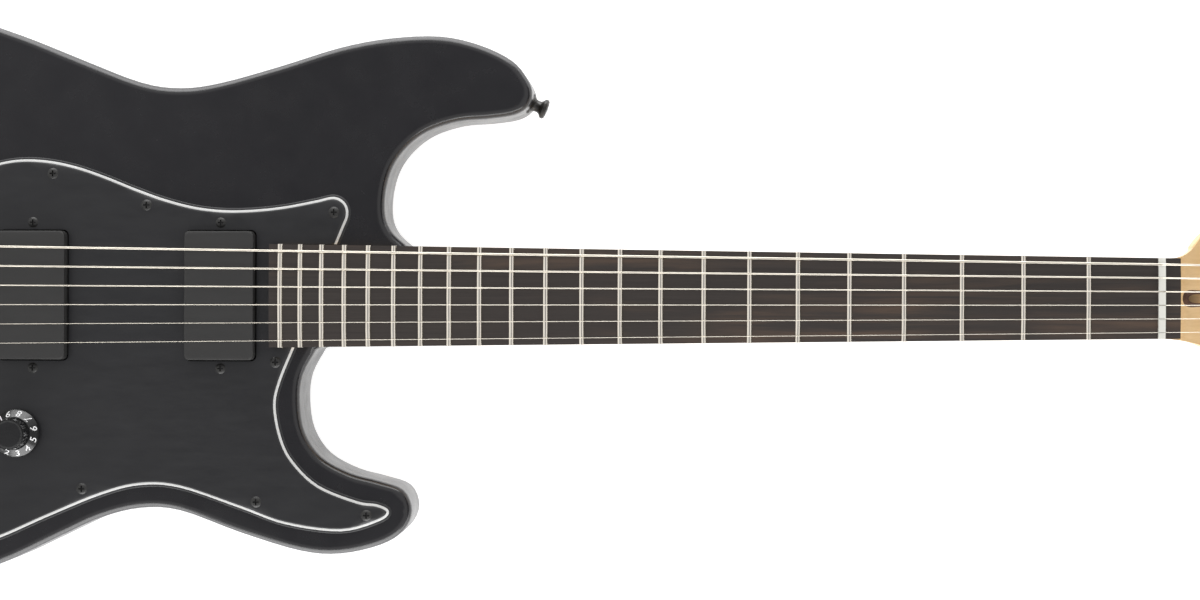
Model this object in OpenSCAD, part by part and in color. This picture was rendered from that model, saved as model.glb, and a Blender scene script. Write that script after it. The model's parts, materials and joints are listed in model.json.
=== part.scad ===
// Solid-body electric guitar: bolt-on maple neck, two covered pickups, fixed string-through bridge.
// The guitar lies on its back: +Z points up through the strings, +X to the headstock, +Y to the bass side.
// It is drawn around the saddle line (x = 0), the centre line (y = 0) and the body's back (z = 0),
// and placed() moves it so that the origin is under the middle of the whole guitar.

/* [Scale and strings] */
// Length from the nut's front face to the saddle line
scale_length = 647.7; // [645:0.1:650]
// Number of frets
fret_count = 22; // [21:1:22]
// Distance between two strings at the saddles
saddle_pitch = 10.5; // [10.2:0.1:10.7]
// Distance between two strings at the nut
nut_pitch = 7.2; // [6.9:0.1:7.4]
// String height over the twelfth fret
string_action = 1.7; // [1.4:0.1:2.2]

/* [Body] */
// Thickness of the body
body_t = 44.5; // [43:0.5:46]
// Radius of the rounded body edges
body_edge_r = 4.5; // [3:0.5:6]
// Radius of the body's edge at the back
back_edge_r = 3; // [2:0.5:4]
// Depth of the neck pocket below the top
pocket_depth = 16; // [15:0.5:17]
// Depth of the pickup pockets
pickup_pocket_depth = 24; // [22:1:26]
// Depth of the control cavity
cavity_depth = 38; // [37:0.5:39]

/* [Pickguard] */
// Thickness of the black plies
ply_black_t = 0.8; // [0.6:0.1:1]
// Thickness of the white ply
ply_white_t = 0.8; // [0.6:0.1:0.9]
// Width of the bevel across one ply
ply_bevel = 1.25; // [0.8:0.05:1.4]

/* [Pickups] */
// Length of a pickup cover along the strings
pickup_len = 37.3; // [36:0.1:38.5]
// Width of a pickup cover across the strings
pickup_w = 69.2; // [68:0.1:70]
// Height of a cover above the pickguard
pickup_rise = 6.5; // [5.5:0.25:7]
// Gap between the fingerboard's end and the neck pickup
board_pickup_gap = 8.4; // [7:0.1:10]
// Bridge pickup centre from the saddle line
bridge_pickup_x = 47; // [46:0.1:49]
// Distance between a pickup's two height screws
height_screw_gap = 78.4; // [77.5:0.1:79]

/* [Controls] */
// Diameter of the knob's skirt
knob_skirt_d = 25.5; // [23:0.5:27]
// Diameter of the knob's cap
knob_cap_d = 16.9; // [15:0.1:18]
// Height of the knob
knob_h = 17.2; // [15:0.2:19]
// Diameter of the potentiometer's shaft
shaft_d = 6; // [5.8:0.05:6.4]
// Travel of the selector lever to each side
lever_swing = 18; // [14:1:20]
// Diameter of the plug that the output socket takes
plug_d = 6.35; // [6.2:0.05:6.4]

/* [Bridge] */
// Length of the bridge plate along the strings
bridge_len = 44; // [43:0.5:45]
// Width of the bridge plate
bridge_w = 83; // [81:0.5:84]
// Thickness of the bridge plate
bridge_t = 2; // [1.6:0.1:2.4]
// Width of one saddle
saddle_w = 9.9; // [9.6:0.05:10]

/* [Neck] */
// Width of the neck at the nut
nut_w = 42.8; // [42:0.1:43.5]
// Widening of the neck for each millimetre towards the body
neck_taper = 0.02657; // [0.025:0.0005:0.028]
// Thickness of the fingerboard at its middle
fingerboard_t = 5; // [4.6:0.1:5.4]
// Radius of the fingerboard's top
fingerboard_r = 305; // [280:5:400]
// Thickness of the neck's wood at the heel
heel_t = 20.4; // [20:0.1:21]
// Width of a fret
fret_w = 3; // [2.2:0.1:3.1]
// Height of a fret above the fingerboard
fret_h = 1.15; // [0.9:0.05:1.3]
// Thickness of the nut
nut_t = 3.6; // [3.2:0.1:4]
// Thickness of the headstock
headstock_t = 14; // [13:0.5:15]

/* [Tuners] */
// Nut's front face to the first string post
first_post = 40.3; // [39:0.1:42]
// Distance between two string posts
post_pitch = 24.6; // [24:0.1:25]
// Radius of a string post
post_r = 3.2; // [3:0.05:3.4]
// Teeth on a tuner's wheel
wheel_teeth = 15; // [14:1:16]

/* [Hidden] */

// Colours
black_paint = "#353639";
black_metal = "#242426";
black_plastic = "#2f2f31";
steel = "#d8d4ca";
maple = "#dfc28a";
ebony = "#35302d";

// Smoothness: points between two outline points, and segments round a rounded edge
outline_steps = 4;
guard_steps = 5;
edge_steps = 3;
wire_sides = 10;
$fn = 48;

// Clearances between mating pieces
running = 0.05;
fit = 0.02;
pocket_gap = 0.15;
pickup_gap = 0.7;

// Heights above the body's back
pocket_z = body_t - pocket_depth;
guard_t = 2 * ply_black_t + ply_white_t;
guard_z = body_t + guard_t;
neck_top_z = pocket_z + heel_t;
board_z = neck_top_z + fingerboard_t;
fret_z = board_z + fret_h;
head_z = pocket_z + headstock_t;
nut_string_z = fret_z + 0.35;
saddle_string_z = nut_string_z + 2 * (string_action - 0.35);

// Half the width of the neck at a distance from the saddle line
function neck_half(x) = (nut_w + (scale_length - x) * neck_taper) / 2;

// Place of a fret: each semitone shortens the string by the twelfth root of two
function fret_x(n) = scale_length * pow(2, -n / 12);
heel_x = fret_x(fret_count);
board_end_x = heel_x - 6;
neck_pickup_x = board_end_x - board_pickup_gap - pickup_len / 2;
board_tip_x = scale_length + 11.9;

// Strings: radius of each, from the thickest to the thinnest
string_r = [0.585, 0.457, 0.33, 0.216, 0.165, 0.127];
strings = [0:5];
function string_y(i, x) = (2.5 - i) * (saddle_pitch + (nut_pitch - saddle_pitch) * x / scale_length);
function crown_drop(y) = y * y / (2 * fingerboard_r);
function saddle_z(i) = saddle_string_z - crown_drop(string_y(i, 0));
function nut_z(i) = nut_string_z - crown_drop(string_y(i, scale_length));

// Body outline, once round from the bass side of the neck, against the clock seen from the strings
body_curve = [
    [248, 27.4], [240.5, 34.2], [236.6, 43.1], [236.8, 56.4], [240.6, 69.7], [248.5, 80.6], [260, 89],
    [276, 94.1], [292, 95.5], [306, 97.6], [313.6, 102.2], [315.8, 109.5], [313, 117.2], [304.6, 126.9],
    [287.7, 135.1], [266.1, 139.9], [239, 138.9], [212, 133.9], [179.7, 123.9], [147.2, 114.9],
    [125.4, 112.1], [103.7, 115.2], [71, 127.7], [38.2, 140.7], [0, 152.5], [-42, 159], [-82, 155],
    [-116, 140], [-138, 114], [-149, 78], [-152, 35], [-151.5, -10], [-148, -55], [-139, -96],
    [-120, -130], [-90, -152.5], [-50, -161], [-10, -157.5], [28.2, -145.5], [60.9, -130.3],
    [82.7, -120.3], [104.4, -114.9], [126.2, -116.2], [158.8, -127.9], [191.3, -137.5], [213, -138.9],
    [234.6, -134], [246.8, -126.4], [251.5, -115.5], [246.9, -104.3], [233, -99.3], [218, -95.3],
    [202.4, -86.8], [193.3, -73.5], [190.6, -57], [192.2, -42.5], [199.3, -29.1]
];
heel_end = 257.5;
heel_corner = [[203, -27.2], [251, -26.2], [255.6, -24.3], [heel_end, -20],
               [heel_end, 20], [255.6, 24.3], [251.5, 26.2]];

// Middle of the pickguard's white line: the bass side, from the neck to the bridge, then the treble side
guard_bridge_x = 17.3;
guard_bass = [
    [210.6, 28.2], [213.9, 36.2], [216.6, 43.5], [215.2, 49.4], [209.5, 52.6], [199.6, 50.6], [183.4, 47.5],
    [167.2, 45.7], [151, 45.3], [134.8, 47], [118.5, 51.1], [102.3, 56.8], [86, 63.3], [69.7, 68.8],
    [53.4, 72], [37.1, 72.2], [22, 68.5], [12, 61], [10, 52], [guard_bridge_x, 44.5]
];
guard_treble = [
    [-10, -44.5], [-22, -50], [-36, -64], [-47, -82], [-53, -100], [-47, -119], [-33, -132], [-13, -138],
    [8, -137], [29.5, -130.1], [54, -119.2], [84, -106.8], [105.5, -101.5], [127.2, -102.9],
    [159.6, -113.7], [184, -122.2], [213.6, -125.8], [234, -120.3], [239, -115.6], [233, -112.4],
    [222.3, -110.8], [201.2, -102.4], [187.5, -89.5], [180.9, -76.7], [177.7, -59.5], [180.1, -46.6],
    [187, -29.4]
];
guard_screw_spots = [
    [57.7, 65.5], [108.5, 48.6], [209.7, 44.9], [178.4, -35.7], [73.8, -104.2], [168.1, -110.8],
    [227.6, -117.7], [19.5, 58], [-17, -53.5], [-46.5, -101], [-2, -131]
];

// Headstock outline from the nut's front face on: the treble side of its root, the tip, the bass side
headstock_curve = [
    [20.3, -23.4], [24.1, -24.8], [36.3, -29.8], [52.3, -33.8], [74.3, -34.6], [102.3, -31.8],
    [132.3, -30.4], [156.3, -32.2], [171.3, -32.6], [181.3, -27.5], [186.3, -17], [183.8, -6.5],
    [174.3, 0], [152.3, 6.2], [112.3, 17], [72.3, 27.8], [46.3, 34.7], [33.8, 37], [27.8, 35.8],
    [23.9, 32.5], [20.3, 27.7]
];

// Stretches over which the neck's back changes its shape: out of the heel, along the shaft, into the root
heel_blend = [heel_end + 0.5, heel_end + 48.5];
shaft = [heel_end + 87.5, scale_length - 32.7];
root_blend = [scale_length - 7.7, scale_length + 25.3];

// Places of the neck's sections: close together where its shape changes
neck_stations = [
    for (k = [0:16]) heel_end - 3.5 + 4 * k,
    for (k = [0:6]) shaft[0] + (shaft[1] - shaft[0]) * k / 6,
    root_blend[0] - 6, root_blend[0] + 2,
    for (k = [0:9]) root_blend[1] - 27 + 3 * k
];

// Placing: the origin is under the middle of the whole guitar, at the lowest face
plate_t = 1.6;
strap_button_h = 12.3;
button_seat = 0.8;
tail_x = min([for (p = body_outline()) p[0]]);
tip_x = max([for (p = headstock_outline()) p[0]]);
low_y = min([for (p = body_outline()) p[1]]);
high_y = max([for (p = body_outline()) p[1]]);
mid = [(tail_x + button_seat - strap_button_h + tip_x) / 2, (low_y + high_y) / 2, -plate_t];

module placed() {
    translate(-mid) children();
}

// ---- Shared shapes ----

// Point on a smooth curve through b and c, with a and d on either side
function spline_point(a, b, c, d, t) =
    (2 * b + (c - a) * t + (2 * a - 5 * b + 4 * c - d) * t * t + (3 * b - a - 3 * c + d) * t * t * t) / 2;

// Smooth curve through all the points
function curve(p, steps) = [
    for (i = [0:len(p) - 2])
        for (s = [0:steps - (i == len(p) - 2 ? 0 : 1)])
            spline_point(p[max(i - 1, 0)], p[i], p[i + 1], p[min(i + 2, len(p) - 1)], s / steps)
];

function body_outline() = concat(curve(body_curve, outline_steps), heel_corner);
function guard_outline() = concat(
    curve(guard_bass, guard_steps), [[guard_bridge_x, -44.5]], curve(guard_treble, guard_steps)
);
function headstock_outline() = curve([for (p = headstock_curve) [scale_length + p[0], p[1]]], 3);

// Outward normal of an edge of a loop that runs against the clock
function edge_normal(a, b) = [b[1] - a[1], a[0] - b[0]] / norm(b - a);

// The loop moved inwards by a distance
function inset(loop, distance) = [
    for (i = [0:len(loop) - 1])
        let (
            before = edge_normal(loop[(i + len(loop) - 1) % len(loop)], loop[i]),
            after = edge_normal(loop[i], loop[(i + 1) % len(loop)])
        )
        loop[i] - (before + after) / (1 + before * after) * distance
];

// Closed skin over rings of points that all have the same number of points
module skin(rings) {
    n = len(rings[0]);
    last = (len(rings) - 1) * n;
    walls = [
        for (j = [0:len(rings) - 2])
            for (i = [0:n - 1])
                let (a = j * n + i, b = j * n + (i + 1) % n)
                each [[a, a + n, b + n], [a, b + n, b]]
    ];
    bottom = [for (i = [0:n - 1]) i];
    top = [for (i = [0:n - 1]) last + n - 1 - i];
    polyhedron([for (ring = rings) each ring], concat([bottom], walls, [top]), convexity = 8);
}

// Solid whose outline is moved inwards by steps[k][0] at the height steps[k][1].
// resize() changes no size here: it has the two faces, which may be hollow-sided, divided properly.
module stepped_solid(loop, steps) {
    resize([0, 0, 0])
        skin([for (s = steps) [for (p = inset(loop, s[0])) [p[0], p[1], s[1]]]]);
}

// Steps of the rounded edges of a slab between two heights, with their radii at the lower and upper face
function rounded_steps(z0, z1, r0, r1) = concat(
    [for (k = [0:edge_steps]) let (a = 90 * k / edge_steps) [r0 * (1 - sin(a)), z0 + r0 * (1 - cos(a))]],
    [for (k = [0:edge_steps]) let (a = 90 * k / edge_steps) [r1 * (1 - cos(a)), z1 - r1 * (1 - sin(a))]]
);

// Rectangle with round corners, as a loop around the origin
function rounded_loop(size, r, steps = 4) = [
    for (corner = [0:3])
        for (k = [0:steps])
            let (
                a = 90 * (corner + k / steps),
                sx = (corner == 0 || corner == 3) ? 1 : -1,
                sy = corner < 2 ? 1 : -1
            )
            [sx * (size[0] / 2 - r) + r * cos(a), sy * (size[1] / 2 - r) + r * sin(a)]
];

module rounded_plate(size, r, z0, z1) {
    translate([0, 0, z0])
        linear_extrude(z1 - z0)
            polygon(rounded_loop(size, r));
}

// Screw with its head's seat at z = 0: an oval head that sinks in, or a pan head that stands on the seat
module oval_screw(r, length, head_r) {
    rotate_extrude()
        polygon([[0, -length], [0.3 * r, -length], [r, -length + 2 * r], [r, r - head_r], [head_r, 0],
                 [0.72 * head_r, 0.2 * head_r], [0.38 * head_r, 0.31 * head_r], [0, 0.34 * head_r]]);
}

module pan_screw(r, length, head_r, head_h) {
    rotate_extrude()
        polygon([[0, -length], [0.3 * r, -length], [r, -length + 2 * r], [r, 0], [head_r, 0],
                 [head_r, 0.35 * head_h], [0.82 * head_r, 0.75 * head_h], [0.5 * head_r, head_h],
                 [0, head_h]]);
}

// Cross recess, cut down from the height z
module cross_recess(head_r, z) {
    for (a = [0, 90])
        rotate(a)
            translate([-0.55 * head_r, -0.12 * head_r, z - 0.5 * head_r])
                cube([1.1 * head_r, 0.24 * head_r, head_r]);
}

module cut_oval_screw(r, length, head_r) {
    difference() {
        oval_screw(r, length, head_r);
        cross_recess(head_r, 0.3 * head_r);
    }
}

module cut_pan_screw(r, length, head_r, head_h) {
    difference() {
        pan_screw(r, length, head_r, head_h);
        cross_recess(head_r, head_h);
    }
}

// Ring of points round a place, square to a direction; its first point lies level with the place
function ring(place, direction, r) =
    let (d = direction / norm(direction), upright = norm([d[0], d[1]]) < 0.001,
         side = upright ? cross([1, 0, 0], d) : cross(d, [0, 0, 1]),
         u = side / norm(side), v = cross(d, u))
    [for (k = [0:wire_sides - 1]) let (a = 360 * k / wire_sides) place + r * (cos(a) * u + sin(a) * v)];

// Round wire through a list of points, each with the wire's radius there as its fourth value
module wire(path) {
    last = len(path) - 1;
    places = [for (p = path) [p[0], p[1], p[2]]];
    ways = [for (k = [0:last - 1]) (places[k + 1] - places[k]) / norm(places[k + 1] - places[k])];
    skin([for (k = [0:last]) ring(places[k], ways[max(k - 1, 0)] + ways[min(k, last - 1)], path[k][3])]);
}

// ---- Body ----

ferrule_x = -8;
ferrule_r = 4.75;
ferrule_flange_r = 5.1;
ferrule_h = 10;
string_hole_r = 1.6;
knob_spot = [38.5, -74.3];
selector_spot = [2, -98];
selector_turn = 20;
pivot_z = 20;
cavity_loop = [[-36, -76], [-25, -59.5], [56, -59.5], [58, -84], [36, -100], [24, -108], [-2, -120],
               [-28, -120], [-39, -106]];
pickup_pocket = [42, 94];
lead_bore_d = 9;
lead_z = body_t - 18;
screw_r = 1.4;
screw_head_r = 3;
neck_screw_r = 2.4;
neck_screw_head_r = 4;
neck_screw_xs = [heel_x + 14.7, heel_end - 10];
neck_screw_y = 19;
neck_screw_spots = [for (x = neck_screw_xs) for (s = [-1, 1]) [x, s * neck_screw_y]];
plate_margin = 6.5;
plate_spot = [(neck_screw_xs[0] + neck_screw_xs[1]) / 2, 0];
plate_size = [neck_screw_xs[1] - neck_screw_xs[0] + 2 * plate_margin, 2 * (neck_screw_y + plate_margin)];
horn_button = [311.3, 106.2, body_t / 2];
horn_button_turn = -22;
tail_button = [tail_x + button_seat, 0, body_t / 2];
strap_base_r = 5.2;
strap_screw_r = 2;

module at_guard_screws() {
    for (p = guard_screw_spots)
        translate([p[0], p[1], guard_z])
            children();
}

module at_height_screws(x) {
    for (s = [-1, 1])
        translate([x, s * height_screw_gap / 2, guard_z])
            children();
}

module at_selector_screws() {
    for (s = [-1, 1])
        translate([selector_spot[0], selector_spot[1], guard_z])
            rotate(selector_turn)
                translate([s * selector_screw_gap / 2, 0, 0])
                    children();
}

module at_neck_screws() {
    for (p = neck_screw_spots)
        translate([p[0], p[1], -plate_t])
            mirror([0, 0, 1])
                children();
}

module neck_screw_blank() {
    oval_head_flush(neck_screw_r, 43, neck_screw_head_r);
}

// Countersunk screw whose head is level with its seat
module oval_head_flush(r, length, head_r) {
    rotate_extrude()
        polygon([[0, -length], [0.3 * r, -length], [r, -length + 2 * r], [r, r - head_r], [head_r, 0],
                 [0, 0]]);
}

// The upper horn's and the tail's strap buttons: z is the way out of the wood
module at_strap_buttons() {
    translate(horn_button)
        rotate([0, 90, horn_button_turn])
            children();
    translate(tail_button)
        rotate([0, -90, 0])
            children();
}

strap_profile = [[strap_screw_r, 0], [strap_base_r, 0], [strap_base_r, 1.4], [3.3, 3.4], [3, 6], [3.3, 8.6],
                 [4.9, 10.2], [4.9, 11], [4.3, strap_button_h], [3.4, strap_button_h], [strap_screw_r, 10.9]];

module strap_screw_blank() {
    translate([0, 0, strap_button_h])
        oval_head_flush(strap_screw_r, 38, 3.4);
}

module body() {
    color(black_paint)
        placed()
            difference() {
                stepped_solid(body_outline(), rounded_steps(0, body_t, back_edge_r, body_edge_r));
                neck_pocket();
                for (x = [neck_pickup_x, bridge_pickup_x])
                    translate([x, 0, 0])
                        rounded_plate(pickup_pocket, 6, body_t - pickup_pocket_depth, body_t + 1);
                control_cavity();
                string_holes();
                at_guard_screws() oval_screw(screw_r, 15, screw_head_r);
                at_bridge_screws() pan_screw(1.7, 25, 3.2, 2);
                at_neck_screws() neck_screw_blank();
                at_strap_buttons() strap_screw_blank();
                at_strap_buttons() cylinder(r = strap_base_r, h = 20);
                jack_pocket();
            }
}

module neck_pocket() {
    translate([0, 0, pocket_z])
        linear_extrude(pocket_depth + 1)
            polygon([
                [heel_x - pocket_gap, -neck_half(heel_x) - pocket_gap],
                [heel_end + 5, -neck_half(heel_end + 5) - pocket_gap],
                [heel_end + 5, neck_half(heel_end + 5) + pocket_gap],
                [heel_x - pocket_gap, neck_half(heel_x) + pocket_gap]
            ]);
}

// Cavity for the controls, and the drilled ways for the leads between it and the pickups
module control_cavity() {
    translate([0, 0, body_t - cavity_depth])
        linear_extrude(cavity_depth + 1)
            polygon(cavity_loop);
    translate([bridge_pickup_x - 8, -pickup_pocket[1] / 2 + 4, lead_z])
        rotate([90, 0, 0])
            cylinder(d = lead_bore_d, h = 14);
    translate([bridge_pickup_x + pickup_pocket[0] / 2 - 3, 0, lead_z])
        rotate([0, 90, 0])
            cylinder(d = lead_bore_d, h = neck_pickup_x - bridge_pickup_x - pickup_pocket[0] + 6);
}

module string_holes() {
    for (i = strings)
        translate([ferrule_x, string_y(i, ferrule_x), 0]) {
            translate([0, 0, -1])
                cylinder(r = string_hole_r, h = body_t + 2);
            cylinder(r = ferrule_r, h = ferrule_h);
            translate([0, 0, -1])
                cylinder(r = ferrule_flange_r, h = 2.2);
        }
}

// ---- Pickguard ----

selector_screw_gap = 41;
slot_spare = 9.5;
slot_len = slot_spare + 2 * (guard_z - pivot_z) * tan(lever_swing);
slot_w = 2.4;
pot_bushing_r = 4.75;

// One ply, with the bevel running from one inset to the next, and every opening cut through it
module ply(z0, z1, inset0, inset1) {
    difference() {
        stepped_solid(guard_outline(), [[inset0, z0], [inset1, z1]]);
        neck_pocket();
        translate([heel_x + 20, 0, body_t])
            cube([40, 2 * neck_half(heel_x) + 2 * pocket_gap, 10], center = true);
        for (x = [neck_pickup_x, bridge_pickup_x])
            translate([x, 0, 0])
                rounded_plate(
                    [pickup_len + 2 * pickup_gap, pickup_w + 2 * pickup_gap], 3, body_t - 1, guard_z + 1
                );
        for (x = [neck_pickup_x, bridge_pickup_x])
            at_height_screws(x) oval_screw(1.5, 15, 2.8);
        at_guard_screws() oval_screw(screw_r, 15, screw_head_r);
        at_selector_screws() oval_screw(1.5, 9, 2.8);
        translate([knob_spot[0], knob_spot[1], body_t - 1])
            cylinder(r = pot_bushing_r, h = guard_t + 2);
        translate([selector_spot[0], selector_spot[1], 0])
            rotate(selector_turn)
                rounded_plate([slot_len, slot_w], 1.1, body_t - 1, guard_z + 1);
    }
}

module pickguard_base_ply() {
    color(black_plastic) placed() ply(body_t, body_t + ply_black_t, -1.5 * ply_bevel, -0.5 * ply_bevel);
}

module pickguard_white_ply() {
    color("white")
        placed()
            ply(body_t + ply_black_t, guard_z - ply_black_t, -0.5 * ply_bevel, 0.5 * ply_bevel);
}

module pickguard_top_ply() {
    color(black_paint) placed() ply(guard_z - ply_black_t, guard_z, 0.5 * ply_bevel, 1.4 * ply_bevel);
}

module pickguard_screws() {
    color(black_metal) placed() at_guard_screws() cut_oval_screw(screw_r, 15, screw_head_r);
}

// ---- Pickups ----

ear_t = 2;
ear_z = body_t - 10;
pickup_bottom_z = body_t - 13;
spring_r = 2.9;

module pickup(x) {
    color(black_plastic)
        placed()
            translate([x, 0, 0])
                difference() {
                    union() {
                        stepped_solid(
                            rounded_loop([pickup_len, pickup_w], 2.6),
                            [[0, pickup_bottom_z], [0, guard_z + pickup_rise - 1],
                             [0.3, guard_z + pickup_rise - 0.3], [1, guard_z + pickup_rise]]
                        );
                        rounded_plate([12, height_screw_gap + 9], 4, ear_z - ear_t, ear_z);
                    }
                    for (s = [-1, 1])
                        translate([0, s * height_screw_gap / 2, ear_z - ear_t - 1])
                            cylinder(r = 1.5 + running, h = ear_t + 2);
                }
}

module neck_pickup() {
    pickup(neck_pickup_x);
}

module bridge_pickup() {
    pickup(bridge_pickup_x);
}

module pickup_height_screws() {
    color(black_metal)
        placed()
            for (x = [neck_pickup_x, bridge_pickup_x])
                at_height_screws(x) cut_oval_screw(1.5, 19, 2.8);
}

// Close-wound coil: a tube with a rounded turn every pitch
module coil(inner_r, outer_r, length, turns) {
    pitch = length / turns;
    wave = [for (k = [0:turns - 1]) each [[outer_r - 0.3, k * pitch], [outer_r, (k + 0.5) * pitch]]];
    rotate_extrude()
        polygon(concat([[inner_r, 0]], wave, [[outer_r - 0.3, length], [inner_r, length]]));
}

module pickup_springs(x) {
    color(steel)
        placed()
            for (s = [-1, 1])
                translate([x, s * height_screw_gap / 2, ear_z])
                    coil(2, spring_r, body_t - ear_z, 8);
}

module neck_pickup_springs() {
    pickup_springs(neck_pickup_x);
}

module bridge_pickup_springs() {
    pickup_springs(bridge_pickup_x);
}

// ---- Volume control ----

pot_body_r = 12;
pot_body_h = 9;
knob_gap = 0.6;
knob_z = guard_z + knob_gap;
shaft_top_z = knob_z + knob_h - 3;
skirt_h = 6;
rim_h = 2.6;
rim_bevel = 0.3;
cap_margin = 0.4;
cap_bevel_h = 1.2;
ribs = 24;
rib_depth = 0.45;
nut_room_r = 8;
nut_room_h = 3.4;

module at_knob(z) {
    translate([knob_spot[0], knob_spot[1], z])
        children();
}

module volume_pot() {
    color("silver")
        placed()
            at_knob(0)
                difference() {
                    union() {
                        translate([0, 0, body_t - pot_body_h])
                            cylinder(r = pot_body_r, h = pot_body_h);
                        translate([0, 0, body_t])
                            cylinder(r = pot_bushing_r, h = guard_t + 2.6);
                        for (k = [-1:1])
                            translate([k * 5 - 1, -pot_body_r - 6, body_t - 4])
                                cube([2, 8, 1]);
                    }
                    translate([0, 0, body_t - 6])
                        cylinder(d = shaft_d + 2 * running, h = 20);
                }
}

module pot_shaft() {
    color("silver")
        placed()
            at_knob(body_t - 6)
                cylinder(d = shaft_d, h = shaft_top_z - body_t + 6);
}

module control_nuts() {
    color("silver")
        placed() {
            at_knob(guard_z)
                difference() {
                    cylinder(r = 6.9, h = 2, $fn = 6);
                    translate([0, 0, -1])
                        cylinder(r = pot_bushing_r, h = 4);
                }
            at_jack()
                translate([0, 0, jack_wall])
                    difference() {
                        cylinder(r = 7.2, h = 2, $fn = 6);
                        translate([0, 0, -1])
                            cylinder(r = jack_bushing_r, h = 4);
                    }
        }
}

// Skirted knob with a ribbed cap, hollow below over the nut
module volume_knob() {
    color(black_plastic)
        placed()
            at_knob(knob_z)
                difference() {
                    union() {
                        rotate_extrude()
                            polygon([[0, 0], [knob_skirt_d / 2, 0], [knob_skirt_d / 2, rim_h],
                                     [knob_skirt_d / 2 - rim_bevel, rim_h + rim_bevel],
                                     [knob_cap_d / 2 + cap_margin, skirt_h], [0, skirt_h]]);
                        translate([0, 0, skirt_h])
                            linear_extrude(knob_h - skirt_h - cap_bevel_h)
                                polygon([for (k = [0:2 * ribs - 1])
                                    let (r = knob_cap_d / 2 - (k % 2) * rib_depth, a = 180 * k / ribs)
                                    r * [cos(a), sin(a)]]);
                        translate([0, 0, knob_h - cap_bevel_h])
                            rotate_extrude()
                                polygon([[0, 0], [knob_cap_d / 2 - 0.5, 0], [knob_cap_d / 2 - 0.9, 0.8],
                                         [knob_cap_d / 2 - 1.8, cap_bevel_h], [0, cap_bevel_h]]);
                    }
                    translate([0, 0, -1])
                        cylinder(r = nut_room_r, h = nut_room_h + 1);
                    translate([0, 0, -1])
                        cylinder(d = shaft_d, h = shaft_top_z - knob_z + 1);
                }
}

// ---- Pickup selector ----

lever_t = 1.4;
lever_gap = 0.4;
frame_gap = lever_t + 2 * lever_gap;
lever_top_z = guard_z + 12;
wall_t = 1.2;
tip_z = guard_z + 4.5;

module at_selector(z) {
    translate([selector_spot[0], selector_spot[1], z])
        rotate(selector_turn)
            children();
}

// Folded sheet frame: a top flange, two walls and the pivot pin between them
module selector_frame() {
    color("silver")
        placed()
            at_selector(0)
                difference() {
                    union() {
                        rounded_plate([selector_screw_gap + 8, 9], 2, body_t - wall_t, body_t);
                        for (s = [-1, 1])
                            translate([-15, s * (frame_gap + wall_t) / 2 - wall_t / 2, pivot_z - 4])
                                cube([30, wall_t, body_t - pivot_z + 4]);
                        translate([0, 0, pivot_z])
                            rotate([90, 0, 0])
                                cylinder(r = 1.5, h = frame_gap + wall_t, center = true);
                    }
                    translate([0, 0, body_t])
                        cube([slot_len, frame_gap, 6], center = true);
                    for (s = [-1, 1])
                        translate([s * selector_screw_gap / 2, 0, guard_z])
                            oval_screw(1.5, 9, 2.8);
                }
}

module selector_screws() {
    color(black_metal) placed() at_selector_screws() cut_oval_screw(1.5, 9, 2.8);
}

module selector_lever() {
    color("silver")
        placed()
            at_selector(0)
                rotate([90, 0, 0])
                    translate([0, 0, -lever_t / 2])
                        linear_extrude(lever_t)
                            difference() {
                                union() {
                                    translate([0, pivot_z])
                                        circle(r = 4);
                                    translate([-2.6, pivot_z])
                                        square([5.2, lever_top_z - pivot_z]);
                                }
                                translate([0, pivot_z])
                                    circle(r = 1.5 + running);
                            }
}

// Length, width and height of the tip's sections
tip_sections = [[8.4, 4.6, 0], [9, 5.2, 1], [7.6, 4.6, 7], [6.6, 4.2, 10.2], [4.6, 2.6, 11.4]];

// Moulded cap on the lever, with its blade sides drawn in towards the top
module selector_tip() {
    color(black_plastic)
        placed()
            at_selector(0)
                difference() {
                    skin([
                        for (s = tip_sections)
                            [for (p = rounded_loop([s[0], s[1]], 1.2)) [p[0], p[1], tip_z + s[2]]]
                    ]);
                    translate([-2.6, -lever_t / 2, tip_z - 1])
                        cube([5.2, lever_t, lever_top_z - tip_z + 1]);
                }
}

// ---- Output socket ----

jack_spot = [-92, -88];
jack_turn = 222;
jack_rise = 30;
jack_wall = 1.6;
jack_bushing_r = 4.7;
cup_r = 12;
cup_depth = 24;
jack_plate_size = [74, 30];
jack_screw_gap = 60;
jack_screw_len = 7;
socket_len = 19;

// Along the plug's way: z points out of the socket, 0 is the inner face of the cup's floor
module at_jack() {
    translate([jack_spot[0], jack_spot[1], body_t])
        rotate(jack_turn)
            rotate([0, 90 - jack_rise, 0])
                translate([0, 0, -cup_depth])
                    translate([0, 0, -jack_wall])
                        children();
}

module at_jack_screws() {
    translate([jack_spot[0], jack_spot[1], body_t + 1.5])
        rotate(jack_turn)
            for (s = [-1, 1])
                translate([s * jack_screw_gap / 2, 0, 0])
                    children();
}

module jack_pocket() {
    at_jack()
        cylinder(r = cup_r + jack_wall + 0.4, h = 60);
    at_jack()
        translate([0, 0, -socket_len - 3])
            cylinder(r = 9, h = socket_len + 5);
    at_jack_screws() oval_screw(screw_r, jack_screw_len, screw_head_r);
}

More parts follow.
